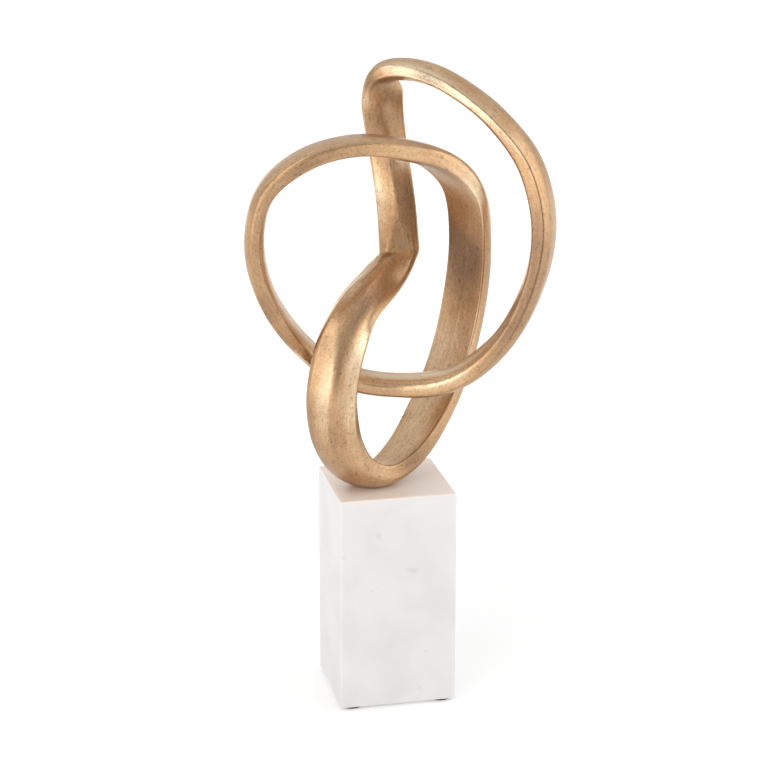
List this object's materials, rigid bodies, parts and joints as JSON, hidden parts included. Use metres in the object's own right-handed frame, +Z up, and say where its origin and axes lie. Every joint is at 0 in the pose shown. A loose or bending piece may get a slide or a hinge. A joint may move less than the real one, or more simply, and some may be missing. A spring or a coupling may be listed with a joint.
{
  "type": "abstract knot sculpture",
  "caption": "Free-standing ornament: a closed, knotted metal band with a gold finish, standing on a rectangular marble plinth with low pads.",
  "frame": {"origin": "on the table, under the middle of the whole object's bounding box", "axes": "+Z up; -Y towards the front, the side with the knot's front lobe; +X to the viewer's right"},
  "size_m": [0.2186, 0.1069, 0.4347],
  "materials": {
    "gilt_metal": "satin",
    "marble": "satin",
    "steel": "satin",
    "pad_rubber": "matte"
  },
  "bodies": {
    "root": {"knot_casting": "gilt_metal", "marble_plinth": "marble", "threaded_rod": "steel", "flat_washer": "steel", "spring_lock_washer": "steel", "hex_nut": "steel", "pad_front_left": "pad_rubber", "pad_front_right": "pad_rubber", "pad_back_left": "pad_rubber", "pad_back_right": "pad_rubber"}
  },
  "joints": []
}
